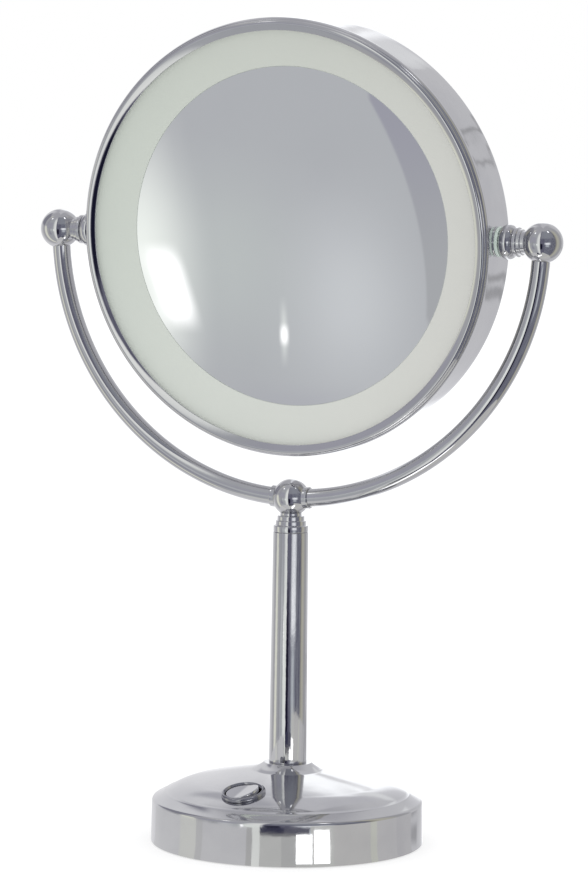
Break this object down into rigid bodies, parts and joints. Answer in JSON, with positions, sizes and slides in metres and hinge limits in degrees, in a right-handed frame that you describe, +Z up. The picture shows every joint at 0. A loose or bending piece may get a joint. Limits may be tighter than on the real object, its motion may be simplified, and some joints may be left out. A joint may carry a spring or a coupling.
{
  "type": "lighted vanity mirror",
  "caption": "Round chrome tabletop mirror with a frosted light ring, tilting in a ball-ended yoke on a slim post over a weighted battery base with a rocker switch.",
  "frame": {"origin": "centre of the base on the surface that the mirror stands on", "axes": "+Z up the post, +X to the right as the user sees the mirror, and the magnifying mirror faces -Y, towards the user"},
  "size_m": [0.2808, 0.136, 0.4113],
  "materials": {
    "chrome": "polished chrome plate",
    "zinc_steel": "zinc plated steel",
    "cast_iron": "raw casting",
    "black_plastic": "moulded, fine texture",
    "black_rubber": "soft foam rubber",
    "cell_jacket": "printed-foil style jacket with no lettering",
    "brass": "bright",
    "smoked_chrome": "dark polished plate",
    "red_wire": "pvc insulation",
    "black_wire": "pvc insulation",
    "frosted_plastic": "frosted translucent acrylic",
    "white_plastic": "white moulding",
    "nylon": "natural translucent nylon",
    "mirror": "silvered glass",
    "board_white": "white solder mask",
    "led_phosphor": "phosphor lens"
  },
  "bodies": {
    "stand": {"base_shell": "chrome", "base_weight": "cast_iron", "bottom_plate": "black_plastic", "base_pad": "black_rubber", "plate_screws": "zinc_steel", "battery_box": "black_plastic", "batteries": "cell_jacket", "battery_springs": "zinc_steel", "battery_contacts": "zinc_steel", "switch_housing": "smoked_chrome", "switch_terminals": "brass", "battery_lead": "red_wire", "switch_lead": "black_wire", "yoke_lead": "black_wire", "tie_rod": "zinc_steel", "base_washer": "zinc_steel", "base_nut": "zinc_steel", "post_tube": "chrome", "post_collar": "chrome", "center_ball": "chrome", "yoke_arm_left": "chrome", "yoke_arm_right": "chrome", "arm_ferrule_left": "chrome", "arm_ferrule_right": "chrome", "ball_left": "chrome", "ball_right": "chrome", "pivot_collar_left": "chrome", "pivot_collar_right": "chrome", "pivot_bead_left": "chrome", "pivot_bead_right": "chrome", "pivot_shaft_left": "zinc_steel", "pivot_shaft_right": "zinc_steel", "pivot_washer_left": "zinc_steel", "pivot_washer_right": "zinc_steel", "spring_washer_left": "zinc_steel", "spring_washer_right": "zinc_steel", "lock_nut_left": "zinc_steel", "lock_nut_right": "zinc_steel"},
    "head": {"drum_shell": "chrome", "front_bezel": "chrome", "light_diffuser": "frosted_plastic", "magnifying_mirror": "mirror", "mirror_carrier": "white_plastic", "rear_mirror": "mirror", "light_reflector": "white_plastic", "led_board": "board_white", "leds": "led_phosphor", "led_resistors": "black_plastic", "pivot_boss_left": "chrome", "pivot_boss_right": "chrome", "pivot_bush_left": "nylon", "pivot_bush_right": "nylon", "head_lead": "red_wire"},
    "rocker": {"rocker_button": "chrome"},
    "battery_door": {"battery_door": "black_plastic"}
  },
  "joints": [
    {"name": "head_tilt", "type": "hinge", "parent": "stand", "child": "head", "pos_m": [0, 0, 0.303], "axis": [1, 0, 0], "range_deg": [-180, 180]},
    {"name": "rocker_press", "type": "hinge", "parent": "stand", "child": "rocker", "pos_m": [-0.00315, -0.04501, 0.02976], "axis": [0.0675, 0.9658, 0.2503], "range_deg": [0, 16]},
    {"name": "door_slide", "type": "slide", "parent": "stand", "child": "battery_door", "axis": [0, 1, 0], "range_m": [0, 0.006]}
  ]
}
